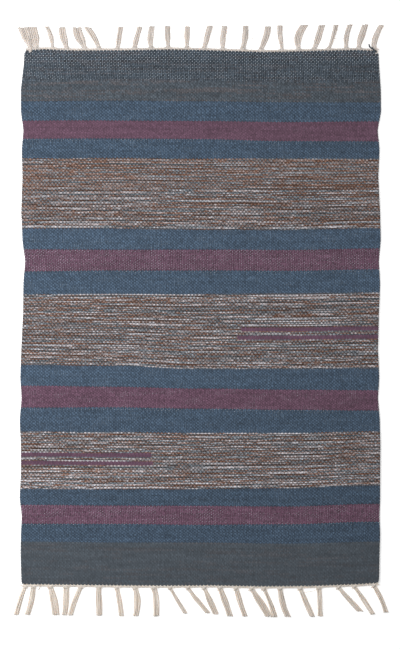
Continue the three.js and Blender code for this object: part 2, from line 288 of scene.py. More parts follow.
class KilimColours(PropertyGroup):
    slate: colour_property("Slate wool", "Colour of the slate weft", "545C64")
    blue: colour_property("Blue wool", "Colour of the blue weft", "495A6C")
    plum: colour_property("Plum wool", "Colour of the plum weft", "654A5B")
    rust: colour_property("Marl rust", "Brown ply of the marl weft, also spun into the slate", "806050")
    ash: colour_property("Marl ash", "Grey ply of the marl weft", "767E85")
    pale: colour_property("Marl pale", "Light ply of the marl weft", "CECBCF")
    warp: colour_property("Warp", "Colour of the warp between the floats, in their shade", "CDD6DD")
    # Both fringes are of one undyed cotton. The near fringe's colour is painted lighter, to make up for the
    # weaker light that falls on the near end.
    far_cotton: colour_property("Far cotton", "Undyed cotton of the far fringe", "DCD2CA")
    near_cotton: colour_property("Near cotton", "Undyed, cleaner cotton of the near fringe", "EEE2D6")
    floor: colour_property("Floor", "Colour of the floor", "FAFAFA")


def add_node(tree, kind, inputs=(), **settings):
    """Adds a node with its settings, and sets or links its inputs, given in their order, or by number or
    name. A node given as an input stands for its first output in use."""
    node = tree.nodes.new("ShaderNode" + kind)
    for name, value in settings.items():
        setattr(node, name, value)
    named = inputs if isinstance(inputs, dict) else dict(enumerate(inputs))
    for socket, value in named.items():
        if isinstance(value, bpy.types.Node):
            value = next(output for output in value.outputs if output.enabled)
        if isinstance(value, bpy.types.NodeSocket):
            tree.links.new(value, node.inputs[socket])
        else:
            node.inputs[socket].default_value = value
    return node


# Settings that many nodes share. A soft range takes a value, the two ends that it comes from and the two
# that it goes to. A colour mix has its factor at 0 and its colours at 6 and 7.
SOFT = {"interpolation_type": "SMOOTHSTEP"}
COLOURS = {"data_type": "RGBA"}


def new_material(name):
    """An empty material, and what adds nodes to it."""
    material = bpy.data.materials.new(name)
    material.use_nodes = True
    material.node_tree.nodes.clear()
    return material, partial(add_node, material.node_tree)


def rgba(colour):
    return (*colour, 1.0)


def shaded(add, colour, *factors):
    """A colour made darker or lighter by each factor."""
    for factor in factors:
        grey = add("CombineColor", (factor, factor, factor))
        colour = add("Mix", {0: 1.0, 6: colour, 7: grey}, **COLOURS, blend_type="MULTIPLY")
    return colour


def noise_at(add, x, y, detail=2.0, rough=0.6):
    """Noise at a place given by two sockets, about 0.5 on average."""
    place = add("CombineXYZ", (x, y))
    inputs = {"Vector": place, "Scale": 1.0, "Detail": detail, "Roughness": rough}
    return add("TexNoise", inputs, noise_dimensions="2D")


# How far the noise of one yarn lies from that of the next one.
NEXT_YARN = 7.31


class Weave:
    """Where a point lies in the weave. The map counts warps across and picks along; the crossing is 1
    on the crest of a float of weft and -1 in the middle of a bare warp."""

    def __init__(self, add):
        self.add = add
        self.uv = add("UVMap", uv_map="weave")
        self.along, self.down = add("SeparateXYZ", [self.uv]).outputs[:2]
        self.pick = add("Math", [self.down], operation="FLOOR")
        self.warp = add("Math", [self.along], operation="FLOOR")
        turns = add("VectorMath", (self.uv, (math.pi,) * 3), operation="MULTIPLY")
        waves = add("VectorMath", [turns], operation="SINE")
        across, down = add("SeparateXYZ", [waves]).outputs[:2]
        self.crossing = add("Math", (across, down), operation="MULTIPLY")
        self.rib = add("Math", [across], operation="ABSOLUTE")
        self.speck, self.bare, self.light, self.tone = (
            add("Attribute", attribute_name=name).outputs["Fac"] for name in STRIPE_FACTS
        )

    def along_yarn(self, yarn, warps, seed, **noise):
        """Noise that changes over that many warps along a yarn and is another one on each yarn."""
        x = self.add("Math", (self.along, 1 / warps), operation="MULTIPLY")
        y = self.add("Math", (yarn, NEXT_YARN, seed), operation="MULTIPLY_ADD")
        return noise_at(self.add, x, y, **noise)

    def patches(self, warps, picks, seed):
        """Noise in soft patches that many warps wide and picks long."""
        x = self.add("Math", (self.along, 1 / warps, seed), operation="MULTIPLY_ADD")
        return noise_at(self.add, x, self.add("Math", (self.down, 1 / picks), operation="MULTIPLY"))


def plain_wool(add, weave, wool, rust):
    """Dyed wool: one colour, a little lighter or darker from pick to pick and along each pick, with some
    brown spun in where the stripe has it."""
    run = add("MapRange", (weave.along_yarn(weave.pick, 22.0, 3.1), 0.25, 0.75, 0.89, 1.12), **SOFT)
    least = add("MapRange", (weave.speck, 0.15, 0.32, 0.82, 0.70), **SOFT)
    most = add("MapRange", (weave.speck, 0.15, 0.32, 1.18, 1.33), **SOFT)
    fleck = add("MapRange", (weave.along_yarn(weave.pick, 0.8, 41.7), 0.3, 0.7, least, most), **SOFT)
    band = add("MapRange", (weave.patches(160.0, 5.0, 88.1), 0.3, 0.7, 0.96, 1.05), **SOFT)
    brown = weave.along_yarn(weave.pick, 90.0, 17.9, detail=6.0, rough=0.85)
    most_brown = add("Math", (weave.light, 0.6), operation="MULTIPLY")
    heather = add("MapRange", (brown, 0.50, 0.60, 0.0, most_brown), **SOFT)
    colour = add("Mix", {0: heather, 6: rgba(wool), 7: rgba(rust)}, **COLOURS)
    return shaded(add, colour, run, fleck, band)


def bare_warp(add, weave, colour, warp, wool):
    """The bare warp between the floats. It shows in patches, and more on some warps than on others,
    and takes up the colour of the wool beside it."""
    seen = [0.78 * a + 0.48 * b for a, b in zip(warp, wool)]
    least = add("MapRange", (weave.bare, 0.35, 0.85, 0.3, 0.92), **SOFT)
    most = add("MapRange", (weave.bare, 0.35, 0.85, 1.9, 1.12), **SOFT)
    patch = add("MapRange", (weave.patches(14.0, 6.0, 51.3), 0.42, 0.66, least, most), **SOFT)
    down = add("Math", (weave.down, 0.12), operation="MULTIPLY")
    own = add("MapRange", (noise_at(add, weave.warp, down), 0.3, 0.7, 0.7, 1.25), **SOFT)
    shown = add("Math", (weave.bare, patch), operation="MULTIPLY")
    shown = add("Math", (shown, own), operation="MULTIPLY")
    edge = add("MapRange", (shown, 0.0, 1.0, -0.92, -0.52), **SOFT)
    inner = add("Math", (edge, 0.33), operation="SUBTRACT")
    bare = add("MapRange", (weave.crossing, inner, edge, 1.0, 0.0), **SOFT)
    clear = add("MapRange", (shown, 0.0, 0.8, 0.15, 1.0), **SOFT)
    amount = add("Math", (bare, clear), operation="MULTIPLY")
    return add("Mix", {0: amount, 6: colour, 7: rgba(seen)}, **COLOURS)


def marl_wool(add, weave, colours):
    """Space-dyed wool: two plies side by side in each pick. Each is rust or grey over long runs and
    darker or lighter over short ones, up to a pale grey. Where one ply is light, the other is mostly
    dark."""
    ply = add("Math", [add("Math", (weave.down, 2.0), operation="MULTIPLY")], operation="FLOOR")
    second = add("Math", (ply, 2.0), operation="FLOORED_MODULO")
    side = add("Math", (second, 2.5, -1.25), operation="MULTIPLY_ADD")

    def plied(warps, seed):
        """Noise along a ply. What both plies share turns to the other side on the second one."""
        own = weave.along_yarn(ply, warps, seed, detail=7.0, rough=0.9)
        twin = weave.along_yarn(weave.pick, warps, seed + 40.0, detail=7.0, rough=0.9)
        own = add("Math", (own, 0.6, 0.2), operation="MULTIPLY_ADD")
        shared = add("Math", (twin, 0.5), operation="SUBTRACT")
        return add("Math", (shared, side, own), operation="MULTIPLY_ADD")

    low = add("MapRange", (weave.light, 0.0, 1.0, 0.40, 0.43), **SOFT)
    high = add("Math", (low, 0.15), operation="ADD")
    warm = add("MapRange", (plied(140.0, 5.3), low, high), **SOFT)
    base = add("Mix", {0: warm, 6: rgba(colours.ash), 7: rgba(colours.rust)}, **COLOURS)
    tone = plied(90.0, 77.7)
    full = add("MapRange", (weave.light, 0.0, 1.0, 0.97, 1.08), **SOFT)
    dark = add("MapRange", (tone, 0.36, 0.54, 0.46, full), **SOFT)
    most = add("MapRange", (weave.light, 0.0, 1.0, 0.40, 0.85), **SOFT)
    # The first and last picks of a light marl are almost all pale.
    edge = add("MapRange", (weave.light, 1.0, 1.8, 0.0, 0.12), **SOFT)
    from_tone, to_tone = (add("Math", (value, edge), operation="SUBTRACT") for value in (0.505, 0.675))
    pale = add("MapRange", (tone, from_tone, to_tone, 0.0, most), **SOFT)
    fleck = add("MapRange", (weave.along_yarn(ply, 0.9, 211.0), 0.3, 0.7, 0.68, 1.34), **SOFT)
    colour = add("Mix", {0: pale, 6: shaded(add, base, dark), 7: rgba(colours.pale)}, **COLOURS)
    return shaded(add, colour, fleck)


# Dyed wool, two plies spun loosely and woven. To the eye it is matte, with a faint light edge from its
# fibres, round floats with dark hollows between them, and small dots of the pale warp.
def wool_material(name, colours):
    material, add = new_material(f"wool_{name}_two_ply_woven")
    weave = Weave(add)
    if name == "marl":
        wool = marl_wool(add, weave, colours)
    else:
        wool = plain_wool(add, weave, getattr(colours, name), colours.rust)
    # Painted shade: loose beating leaves deep hollows round each float, tight beating leaves ribs along
    # the warps, and the colour is painted darker in the hollows and in the grooves between the warps. On a
    # crest it is painted a little lighter, a painted highlight, where the weave is loose, and darker beside
    # the barest warps.
    deep = add("MapRange", (weave.speck, 0.0, 1.0, 1.06, YARNS[name]["hollow"]), **SOFT)
    crest = add("MapRange", (weave.speck, 0.0, 0.5, 1.07, 0.95), **SOFT)
    crest = add("MapRange", (weave.bare, 0.0, 1.0, crest, YARNS[name]["crest"]), **SOFT)
    power = add("MapRange", (weave.crossing, -0.15, 0.8, deep, crest), **SOFT)
    rib = add("MapRange", (weave.rib, 0.0, 0.6, 0.82, 1.0), **SOFT)
    # Raising the colour to a power paints it darker and richer in a hollow, as light that goes from fibre
    # to fibre would make it, and rib paints the grooves between the warps darker.
    colour = shaded(add, add("Gamma", (wool, power)), rib, weave.tone)
    if name != "marl":
        colour = bare_warp(add, weave, colour, colours.warp, getattr(colours, name))
    # The plies show as slanting lines about 1.2 mm apart on each float.
    slant = add("VectorMath", (weave.uv, (2.5, 1.6, 0.0)), operation="MULTIPLY")
    waves = {"Vector": slant, "Scale": 0.32, "Distortion": 1.5, "Detail": 2.0, "Detail Scale": 2.0}
    plies = add("TexWave", waves, wave_type="BANDS", bands_direction="DIAGONAL").outputs["Fac"]
    surface = {
        "Base Color": colour,
        "Roughness": 0.9,
        "IOR": 1.55,
        "Specular IOR Level": 0.25,
        "Sheen Weight": 0.12,
        "Sheen Roughness": 0.6,
        "Normal": add("Bump", {"Strength": 0.6, "Distance": 0.0003, "Height": plies}),
    }
    add("OutputMaterial", [add("BsdfPrincipled", surface)])
    return material


# Yarn of two plies: undyed cotton in the fringes, dyed wool at a stray weft end. To the eye it is matt
# and a little see-through at its edges, darker between its plies, with the fine lines of its fibres
# slanting round each strand.
def yarn_material(name, colour):
    known = bpy.data.materials.get(name)
    if known:
        return known
    material, add = new_material(name)
    uv = add("UVMap", uv_map="yarn")
    number = add("Math", [add("SeparateXYZ", [uv])], operation="FLOOR")
    own = add("TexWhiteNoise", {"W": number}, noise_dimensions="1D")
    shade = add("MapRange", (own, 0.0, 0.6, 0.86, 1.03), **SOFT)
    # Fibres lie along the plies, a fifth of a millimetre apart, drawn at half a millimetre so as to show.
    stretch = add("VectorMath", (uv, (9.0, 0.25, 1.0)), operation="MULTIPLY")
    grain = {"Vector": stretch, "Scale": 1.0, "Detail": 4.0, "Roughness": 0.65}
    fibres = add("TexNoise", grain, noise_dimensions="2D")
    streak = add("MapRange", (fibres, 0.3, 0.7, 0.93, 1.04), **SOFT)
    surface = {
        "Base Color": shaded(add, rgba(colour), shade, streak),
        "Roughness": 0.88,
        "IOR": 1.53,
        "Specular IOR Level": 0.25,
        "Sheen Weight": 0.15,
        "Sheen Roughness": 0.5,
        "Subsurface Weight": 0.4,
        "Subsurface Radius": (1.0, 0.85, 0.7),
        "Subsurface Scale": 0.001,
        "Normal": add("Bump", {"Strength": 0.5, "Distance": 0.0002, "Height": fibres}),
    }
    add("OutputMaterial", [add("BsdfPrincipled", surface)])
    return material


# A light table of opal acrylic, sanded matt and lit from below: an even white that takes up shadows.
def floor_material(colours):
    material, add = new_material("acrylic_opal_sanded")
    grain = add("TexNoise", {"Scale": 60.0, "Detail": 3.0})
    surface = {
        "Base Color": rgba(colours.floor),
        "Roughness": add("MapRange", {0: grain, 3: 0.75, 4: 0.9}),
        "Specular IOR Level": 0.1,
        "Emission Color": rgba(WHITE),
        "Emission Strength": 0.4,
    }
    add("OutputMaterial", [add("BsdfPrincipled", surface)])
    return material


def mesh_piece(name, points, faces, materials, uv_name, uvs, slots=None, flat=None):
    """A smooth mesh object from points, groups of faces and one map coordinate for each point.
    slots gives each face's material, and flat the faces that stay flat."""
    mesh = bpy.data.meshes.new(name)
    mesh.from_pydata(points.tolist(), [], [face for group in faces for face in group.tolist()])
    corners = np.empty(len(mesh.loops), np.int32)
    mesh.loops.foreach_get("vertex_index", corners)
    mesh.uv_layers.new(name=uv_name).data.foreach_set("uv", uvs[corners].astype(np.float32).ravel())
    smooth = np.ones(len(mesh.polygons), bool)
    if flat is not None:
        smooth[flat] = False
    mesh.polygons.foreach_set("use_smooth", smooth)
    if slots is not None:
        mesh.polygons.foreach_set("material_index", slots.astype(np.int32))
    for material in materials:
        mesh.materials.append(material)
    mesh.validate()
    mesh.update()
    piece = bpy.data.objects.new(name, mesh)
    bpy.context.scene.collection.objects.link(piece)
    return piece


def cloth_middle():
    """How far right the cloth's middle line lies."""
    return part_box("woven_cloth")[0].x + MIDDLE_FROM_LEFT_MM * MM


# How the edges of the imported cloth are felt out: at which height, in steps of which size, for how many
# steps, and from how far outside at a side and at an end.
FEEL_HEIGHT_MM = 2.0
FEEL_STEP_MM = 0.3
FEEL_STEPS = 60
FEEL_FROM_SIDE = 1
FEEL_FROM_END = 2

# How a corner is found: the side is felt at this depth from the cloth's outermost place, the end is felt
# this far in from there, and the corner lies this far down from that.
CORNER_DEPTH_MM = 6.0
CORNER_IN_MM = 2.5
CORNER_DOWN_MM = 1.5

# The line of an end stops short of the sides by this much.
LINE_SHORT_MM = 0.8


class ClothEnd:
    """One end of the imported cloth: where its corners are, and the line of its last pick. direction is
    1 at the far end and -1 at the near one."""

    def __init__(self, direction):
        self.direction = direction
        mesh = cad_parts["woven_cloth"].data
        faces = [tuple(face.vertices) for face in mesh.polygons]
        self.tree = BVHTree.FromPolygons([v.co for v in mesh.vertices], faces)
        low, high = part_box("woven_cloth")
        y = (high.y if direction > 0 else low.y) - direction * CORNER_DEPTH_MM * MM
        inner = [self.feel_x(y, side) - side * CORNER_IN_MM * MM for side in (-1, 1)]
        self.corner = [self.feel_y(x) - direction * CORNER_DOWN_MM * MM for x in inner]
        self.left, self.right = (self.feel_x(y, side) for y, side in zip(self.corner, (-1, 1)))

    def feel(self, x, y, step_in, way):
        """The first place where a line meets the solid. The line moves in by small steps until it does,
        so that it also finds rounded corners."""
        start = Vector((x, y, FEEL_HEIGHT_MM * MM))
        for _ in range(FEEL_STEPS):
            hit = self.tree.ray_cast(start, Vector(way))[0]
            if hit is not None:
                return hit
            start += Vector(step_in) * (FEEL_STEP_MM * MM)
        raise RuntimeError("the cloth's edge wasn't found; its solid isn't where it was")

    def feel_x(self, y, side):
        return self.feel(side * FEEL_FROM_SIDE, y, (0, -self.direction, 0), (-side, 0, 0)).x

    def feel_y(self, x):
        inwards = -1 if x > 0 else 1
        return self.feel(x, FEEL_FROM_END * self.direction, (inwards, 0, 0), (0, -self.direction, 0)).y

    def line(self, places):
        """How far along y the end lies at places across it."""
        short = LINE_SHORT_MM * MM
        inside = np.clip(places, self.left + short, self.right - short)
        return np.array([self.feel_y(x) for x in inside])

    def across(self, weave, share):
        """Places across the end's face, from its left edge at 0 to its right edge at 1."""
        return self.left + weave.selvedge + (self.right - self.left - 2 * weave.selvedge) * share


def soft_line(x, places, heights):
    """A soft curve through heights at places, level at each one."""
    at = np.clip(x, places[0], places[-1])
    k = np.clip(np.searchsorted(places, at, side="right") - 1, 0, len(places) - 2)
    places, heights = np.asarray(places, float), np.asarray(heights, float)
    share = (at - places[k]) / (places[k + 1] - places[k])
    return heights[k] + (heights[k + 1] - heights[k]) * (0.5 - 0.5 * np.cos(math.pi * share))


# What starts the cloth's random draws, and how unevenly it is woven. A warp drifts sideways and has its
# own place, a pick wanders, and less so near an end. A drift or wander changes over so many rows and
# columns.
CLOTH_SEED = 11
DRIFT_MM = 0.35
DRIFT_CHANGES = (60, 2)
OWN_PLACE_MM = 0.14
WANDER_CHANGES = (3, 60)
WANDER_FADE_MM = 6.0

# How deep the top lies, in parts of the relief, where the weft is beaten tight, and how much deeper
# where it is loosest. A groove runs between two picks and a gap between two warps, and a hole is where
# they cross. A warp that shows lies higher, and the floats beside it lie lower.
DEPTHS = {"hole": (0.75, 0.25), "groove": (0.34, 0.36), "gap": (0.58, -0.14), "warp": (0.6, 0.3)}
BARE_WARP_RISE = 0.6
BARE_FLOAT_DROP = 0.25
UNEVEN_DEPTH = 0.06

# On the underside the weft lies on the floor, and the warp that it passes over lies this part of the
# relief above it. Both are a little uneven, and the rim of the underside is lifted.
BASE_RELIEF = 0.7
BASE_UNEVEN_MM = 0.04
BASE_RIM_MM = 0.5

# Which part of what a float spreads across its pick it spreads along it, and which part of that it
# spreads at the selvedge.
SPREAD_SIDEWAYS = 0.8
SPREAD_AT_EDGE = 0.4

# How deep the selvedge is notched between two turns of the weft, and between the two picks of a turn.
NOTCH_MM = 0.72
TURN_NOTCH_MM = 0.36


class Cloth:
    """The places of all the crossings of the cloth. Row 0 is the far end and rows are half a pick
    apart; column 0 is the left selvedge and columns are half a warp apart."""

    def __init__(self, weave):
        self.weave = weave
        self.random = np.random.default_rng(CLOTH_SEED)
        self.middle = cloth_middle()
        self.far_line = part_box("woven_cloth")[1].y - FAR_LINE_BELOW_MM * MM
        self.lay_picks()
        self.lay_rows()
        self.note_facts()
        self.swell()
        self.heights()

    def lay_picks(self):
        """The pick at which each stripe starts, and how far down the cloth each row lies."""
        self.starts = np.cumsum([0, *PICKS])
        self.picks = sum(PICKS)
        start, down = 0.0, [0.0]
        for stripe, count in zip(STRIPES, PICKS):
            down += [start + stripe["length"] * (k + 1) / count for k in range(count)]
            start += stripe["length"]
        self.length = start * MM
        self.edges = np.array(down) * MM
        self.down = np.empty(2 * self.picks + 1)
        self.down[0::2] = self.edges
        self.down[1::2] = (self.edges[:-1] + self.edges[1:]) / 2

    def per_row(self, key):
        """A value of each stripe, for every row, taken halfway between two picks."""
        of_pick = np.repeat([float(stripe[key]) for stripe in STRIPES], PICKS)
        rows = np.empty(2 * self.picks + 1)
        rows[1::2] = of_pick
        rows[2:-1:2] = (of_pick[:-1] + of_pick[1:]) / 2
        rows[0], rows[-1] = of_pick[0], of_pick[-1]
        return rows

    def lay_rows(self):
        """The places of the top of every row and column."""
        self.far, self.near = ClothEnd(1), ClothEnd(-1)
        weave, columns = self.weave, 2 * self.weave.warps + 1
        share = np.linspace(0, 1, columns)
        rise = self.rises(self.far.across(weave, share), self.near.across(weave, share))
        self.y = (self.far_line - self.down)[:, None] + rise
        self.left, self.right = self.selvedge(self.y[:, 0], 0), self.selvedge(self.y[:, -1], 1)
        drift = self.smooth_noise(self.y.shape, DRIFT_CHANGES) * DRIFT_MM * MM
        drift[:, 1:-1] += self.random.normal(0, OWN_PLACE_MM * MM, columns - 2)
        drift[:, [0, -1]] = 0
        wide = self.right - self.left - 2 * weave.selvedge
        self.x = (self.left + weave.selvedge)[:, None] + wide[:, None] * share + drift
        wander = self.smooth_noise(self.y.shape, WANDER_CHANGES) * weave.wander
        from_end = np.minimum(self.down, self.length - self.down)
        self.y += wander * np.clip(from_end / (WANDER_FADE_MM * MM), 0, 1)[:, None]

    def selvedge(self, y, side):
        """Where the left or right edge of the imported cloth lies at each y."""
        inside = np.clip(y, self.near.corner[side], self.far.corner[side])
        middle = self.far_line - self.length / 2
        return np.array([(self.far if v > middle else self.near).feel_x(v, (-1, 1)[side]) for v in inside])

    def smooth_noise(self, shape, scale):
        """Even noise from -1 to 1 that changes over that many rows and columns."""
        rows, columns = (int(math.ceil(n / s)) + 2 for n, s in zip(shape, scale))
        knots = self.random.uniform(-1, 1, (rows, columns))
        r, c = np.arange(shape[0]) / scale[0], np.arange(shape[1]) / scale[1]
        ri, ci = r.astype(int), c.astype(int)
        rf = (0.5 - 0.5 * np.cos(math.pi * (r - ri)))[:, None]
        cf = 0.5 - 0.5 * np.cos(math.pi * (c - ci))
        top, low = (knots[k][:, ci] * (1 - cf) + knots[k][:, ci + 1] * cf for k in (ri, ri + 1))
        return top * (1 - rf) + low * rf

    def rises(self, far_x, near_x):
        """How far each row lies above its straight line. The ends follow the solid's own ends."""
        places = [(p * MM) + self.middle for p in RISE_AT]
        lines, at = [self.far.line(far_x) - self.far_line], [0.0]
        for stripe in STRIPES[:-1]:
            at.append(at[-1] + stripe["length"] * MM)
            lines.append(soft_line(far_x, places, [r * MM for r in stripe["rise"]]))
        lines.append(self.near.line(near_x) - (self.far_line - self.length))
        at.append(self.length)
        lines, at = np.array(lines), np.array(at)
        k = np.clip(np.searchsorted(at, self.down, side="right") - 1, 0, len(at) - 2)
        share = np.clip((self.down - at[k]) / (at[k + 1] - at[k]), 0, 1)[:, None]
        return lines[k] * (1 - share) + lines[k + 1] * share

    def over(self, warps, picks):
        """True where the weft passes over the warp, for so many warps and picks."""
        return (np.arange(warps)[None, :] + np.arange(picks)[:, None]) % 2 == 0

    def note_facts(self):
        """What the material has to know of every row. Beside other wool a light marl is lighter, and
        after plum the blue shows more warp."""
        self.facts = {name: self.per_row(name) for name in STRIPE_FACTS}
        for s, stripe in enumerate(STRIPES):
            first, last = self.starts[s], self.starts[s + 1] - 1
            if stripe["yarn"] == "marl" and stripe["light"] > 0:
                for pick, beside in ((first, STRIPES[s - 1]), (last, STRIPES[s + 1])):
                    if beside["yarn"] != "marl":
                        self.facts["light"][2 * pick : 2 * pick + 3] = stripe["light"] + EDGE_LIGHT
            if stripe["yarn"] == "blue" and STRIPES[s - 1]["yarn"] == "plum":
                self.facts["bare"][2 * first : 2 * first + 4] = EDGE_BARE

    def swell(self):
        """Spreads each float over the bare warps beside it and over the grooves between the picks."""
        weave, speck = self.weave, self.facts["speck"]
        amount = weave.closed_swell + (weave.open_swell - weave.closed_swell) * speck
        pitch_x = (self.right - self.left).mean() / weave.warps
        pitch_y = np.gradient(self.down) * 2
        # Between two picks, on a warp: towards the far end where the nearer pick floats there.
        toward = np.where(self.over(weave.warps, self.picks + 1), 1.0, -1.0)
        self.y[0::2, 1::2] += toward * (amount * pitch_y)[0::2, None]
        # Between two warps, on a pick: to the left where the right-hand warp is covered.
        toward = np.where(self.over(weave.warps + 1, self.picks), -1.0, 1.0)
        toward[:, [0, -1]] *= SPREAD_AT_EDGE
        self.x[1::2, 0::2] += toward * (amount[1::2] * pitch_x * SPREAD_SIDEWAYS)[:, None]

    def heights(self):
        """The height of the top at every row and column, and of the base at every crossing."""
        thick, relief = self.per_row("thick") * MM, self.per_row("relief") * MM
        speck, bare = (self.facts[name][:, None] for name in ("speck", "bare"))
        lies = {place: tight + looser * speck for place, (tight, looser) in DEPTHS.items()}
        warp = lies["warp"] - BARE_WARP_RISE * bare
        over = self.over(self.weave.warps, self.picks)
        depth = np.empty_like(self.x)
        depth[0::2, 0::2] = lies["hole"][0::2]
        depth[0::2, 1::2] = lies["groove"][0::2]
        depth[1::2, 0::2] = lies["gap"][1::2]
        depth[1::2, 1::2] = np.where(over, BARE_FLOAT_DROP * bare[1::2], warp[1::2])
        depth += np.abs(self.random.normal(0, UNEVEN_DEPTH, depth.shape))
        depth[0], depth[-1] = 1.0, 1.0
        self.top = thick[:, None] - depth * relief[:, None]
        self.base = np.where(over, relief[1::2, None] * BASE_RELIEF, 0.0)
        self.base += np.abs(self.random.normal(0, BASE_UNEVEN_MM * MM, over.shape))

    def pieces(self):
        """Runs of stripes of one yarn, each with its yarn and the picks from which to which its stripes
        go, and with at most most_picks picks."""
        bands = {yarn: [] for yarn in YARNS}
        for s, stripe in enumerate(STRIPES):
            band = (self.starts[s], self.starts[s + 1])
            if s and stripe["yarn"] == STRIPES[s - 1]["yarn"]:
                band = (bands[stripe["yarn"]].pop()[0], band[1])
            bands[stripe["yarn"]].append(band)
        runs = []
        for yarn, of_yarn in bands.items():
            # As if a run were full, so that the first band starts a new one.
            size = self.weave.most_picks
            for start, end in of_yarn:
                size += end - start
                if size > self.weave.most_picks:
                    runs.append((yarn, []))
                    size = end - start
                runs[-1][1].append((start, end))
        return runs

    def streaked(self, picks, x):
        """True for places where a streak of plum is laid in."""
        inside = np.zeros(len(x), bool)
        for streak in STREAKS:
            first = int(np.searchsorted(self.edges, streak["down"] * MM))
            low, high = (self.middle + streak[side] * MM for side in ("left", "right"))
            inside |= (picks >= first) & (picks < first + streak["picks"]) & (x > low) & (x < high)
        return inside

    def slab(self, start, end):
        """The closed slab of the picks from start to end: points, map places, faces and end walls."""
        rows, columns = 2 * (end - start) + 1, self.x.shape[1]
        part = slice(2 * start, 2 * end + 1)
        x, y, z = self.x[part], self.y[part], self.top[part]
        u = np.broadcast_to(np.arange(columns) / 2, x.shape)
        v = np.broadcast_to((np.arange(rows) / 2 + start)[:, None], x.shape)
        top = np.arange(rows * columns).reshape(rows, columns)
        points = [np.stack([x, y, z], -1).reshape(-1, 3)]
        maps = [np.stack([u, v], -1).reshape(-1, 2)]
        # The base has a point under each crossing and along its rim.
        grid = np.ix_(*(np.r_[0, np.arange(1, n, 2), n - 1] for n in (rows, columns)))
        zb = np.full(x[grid].shape, BASE_RIM_MM * MM)
        zb[1:-1, 1:-1] = self.base[start:end]
        base = np.arange(zb.size).reshape(zb.shape) + rows * columns
        points.append(np.stack([x[grid], y[grid], zb], -1).reshape(-1, 3))
        maps.append(np.stack([u[grid] + 1, v[grid]], -1).reshape(-1, 2))
        # The selvedges bulge out between the top and the base, pair by pair of picks.
        pair = np.arange(2 * start, 2 * end + 1) % 4
        sides = []
        for column, edge, sign, deepest in ((0, self.left, -1, 0), (columns - 1, self.right, 1, 2)):
            within_turn = np.where(pair % 2 == 0, TURN_NOTCH_MM, 0.0)
            notch = np.where(pair == deepest, NOTCH_MM, within_turn) * MM
            first = sum(len(p) for p in points)
            sides.append(np.arange(first, first + rows))
            points.append(np.stack([edge[part] - sign * notch, y[:, column], z[:, column] * 0.5], -1))
            maps.append(np.stack([np.full(rows, float(column // 2)), v[:, column]], -1))
        left, right = sides
        faces = [
            np.stack([top[1:, :-1], top[1:, 1:], top[:-1, 1:], top[:-1, :-1]], -1).reshape(-1, 4),
            np.stack([base[:-1, :-1], base[:-1, 1:], base[1:, 1:], base[1:, :-1]], -1).reshape(-1, 4),
            np.stack([top[:-1, 0], left[:-1], left[1:], top[1:, 0]], -1),
            np.stack([top[1:, -1], right[1:], right[:-1], top[:-1, -1]], -1),
        ]
        for side, column, turn in ((left, 0, 1), (right, -1, -1)):
            inner = base[:, column]
            ends = [[side[0], inner[0], inner[1], side[1]], [side[-2], inner[-2], inner[-1], side[-1]]]
            faces.append(np.array(ends)[:, ::turn])
            middle = [side[1:-2:2], inner[1:-2], inner[2:-1], side[3::2], side[2:-1:2]]
            faces.append(np.stack(middle, -1)[:, ::turn])
        walls = []
        for row, turn in ((0, 1), (-1, -1)):
            line, low = top[row], base[row]
            ends = [
                [left[row], line[0], line[1], low[1], low[0]],
                [low[-2], line[-2], line[-1], right[row], low[-1]],
            ]
            walls.append(np.array(ends)[:, ::turn])
            middle = [low[1:-2], line[1:-2:2], line[2:-1:2], line[3::2], low[2:-1]]
            walls.append(np.stack(middle, -1)[:, ::turn])
        return np.concatenate(points), np.concatenate(maps), faces, walls


class KILIM_OT_cloth(Operator):
    """Weaves the cloth, in pieces that each hold the stripes of one yarn"""

    bl_idname = "kilim.cloth"
    bl_label = "Woven cloth"

    def execute(self, context):
        colours = context.scene.kilim_colours
        cloth = Cloth(context.scene.kilim_weave)
        wool = {yarn: wool_material(yarn, colours) for yarn in YARNS}
        counts = dict.fromkeys(YARNS, 0)
        for yarn, bands in cloth.pieces():
            counts[yarn] += 1
            points, maps, faces, slots, flat = [], [], [], [], []
            offset, total = 0, 0
            for start, end in bands:
                new_points, new_maps, around, walls = cloth.slab(start, end)
                for group in around + walls:
                    row, x = new_maps[group].mean(1)[:, 1], new_points[group].mean(1)[:, 0]
                    slots.append(cloth.streaked(np.floor(row), x))
                    faces.append(group + offset)
                first_wall = total + sum(len(group) for group in around)
                total = first_wall + sum(len(group) for group in walls)
                flat.append(np.arange(first_wall, total))
                points.append(new_points)
                maps.append(new_maps)
                offset += len(new_points)
            points, maps, slots, flat = (np.concatenate(part) for part in (points, maps, slots, flat))
            materials = [wool[yarn], wool["plum"]] if slots.any() else [wool[yarn]]
            name = f"{yarn}_weft_{counts[yarn]}"
            piece = mesh_piece(name, points, faces, materials, "weave", maps, slots, flat)
            row = np.clip(np.round(maps[:, 1] * 2).astype(int), 0, 2 * cloth.picks)
            # A row between two picks goes with the pick before it.
            tight = cloth.streaked(maps[:, 1] - 0.25, points[:, 0])
            for fact, values in cloth.facts.items():
                own = np.where(tight, STREAK_FACTS[fact], values[row])
                attribute = piece.data.attributes.new(fact, "FLOAT", "POINT")
                attribute.data.foreach_set("value", own.astype(np.float32))
            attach(piece, "root")
            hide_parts("woven_cloth")
        return {"FINISHED"}


def along_path(path):
    """How far along a path each of its points lies."""
    return np.r_[0, np.cumsum(np.linalg.norm(np.diff(path, axis=0), axis=1))]


def circle(count):
    """The angles of so many points round a circle."""
    return np.arange(count) * 2 * math.pi / count


# A tube that runs steeper than this share of straight up takes its sides from the y axis.
STEEP = 0.95

# The map of a tube goes this far round it, so that the whole number is each tube's own.
MAP_ROUND = 0.98


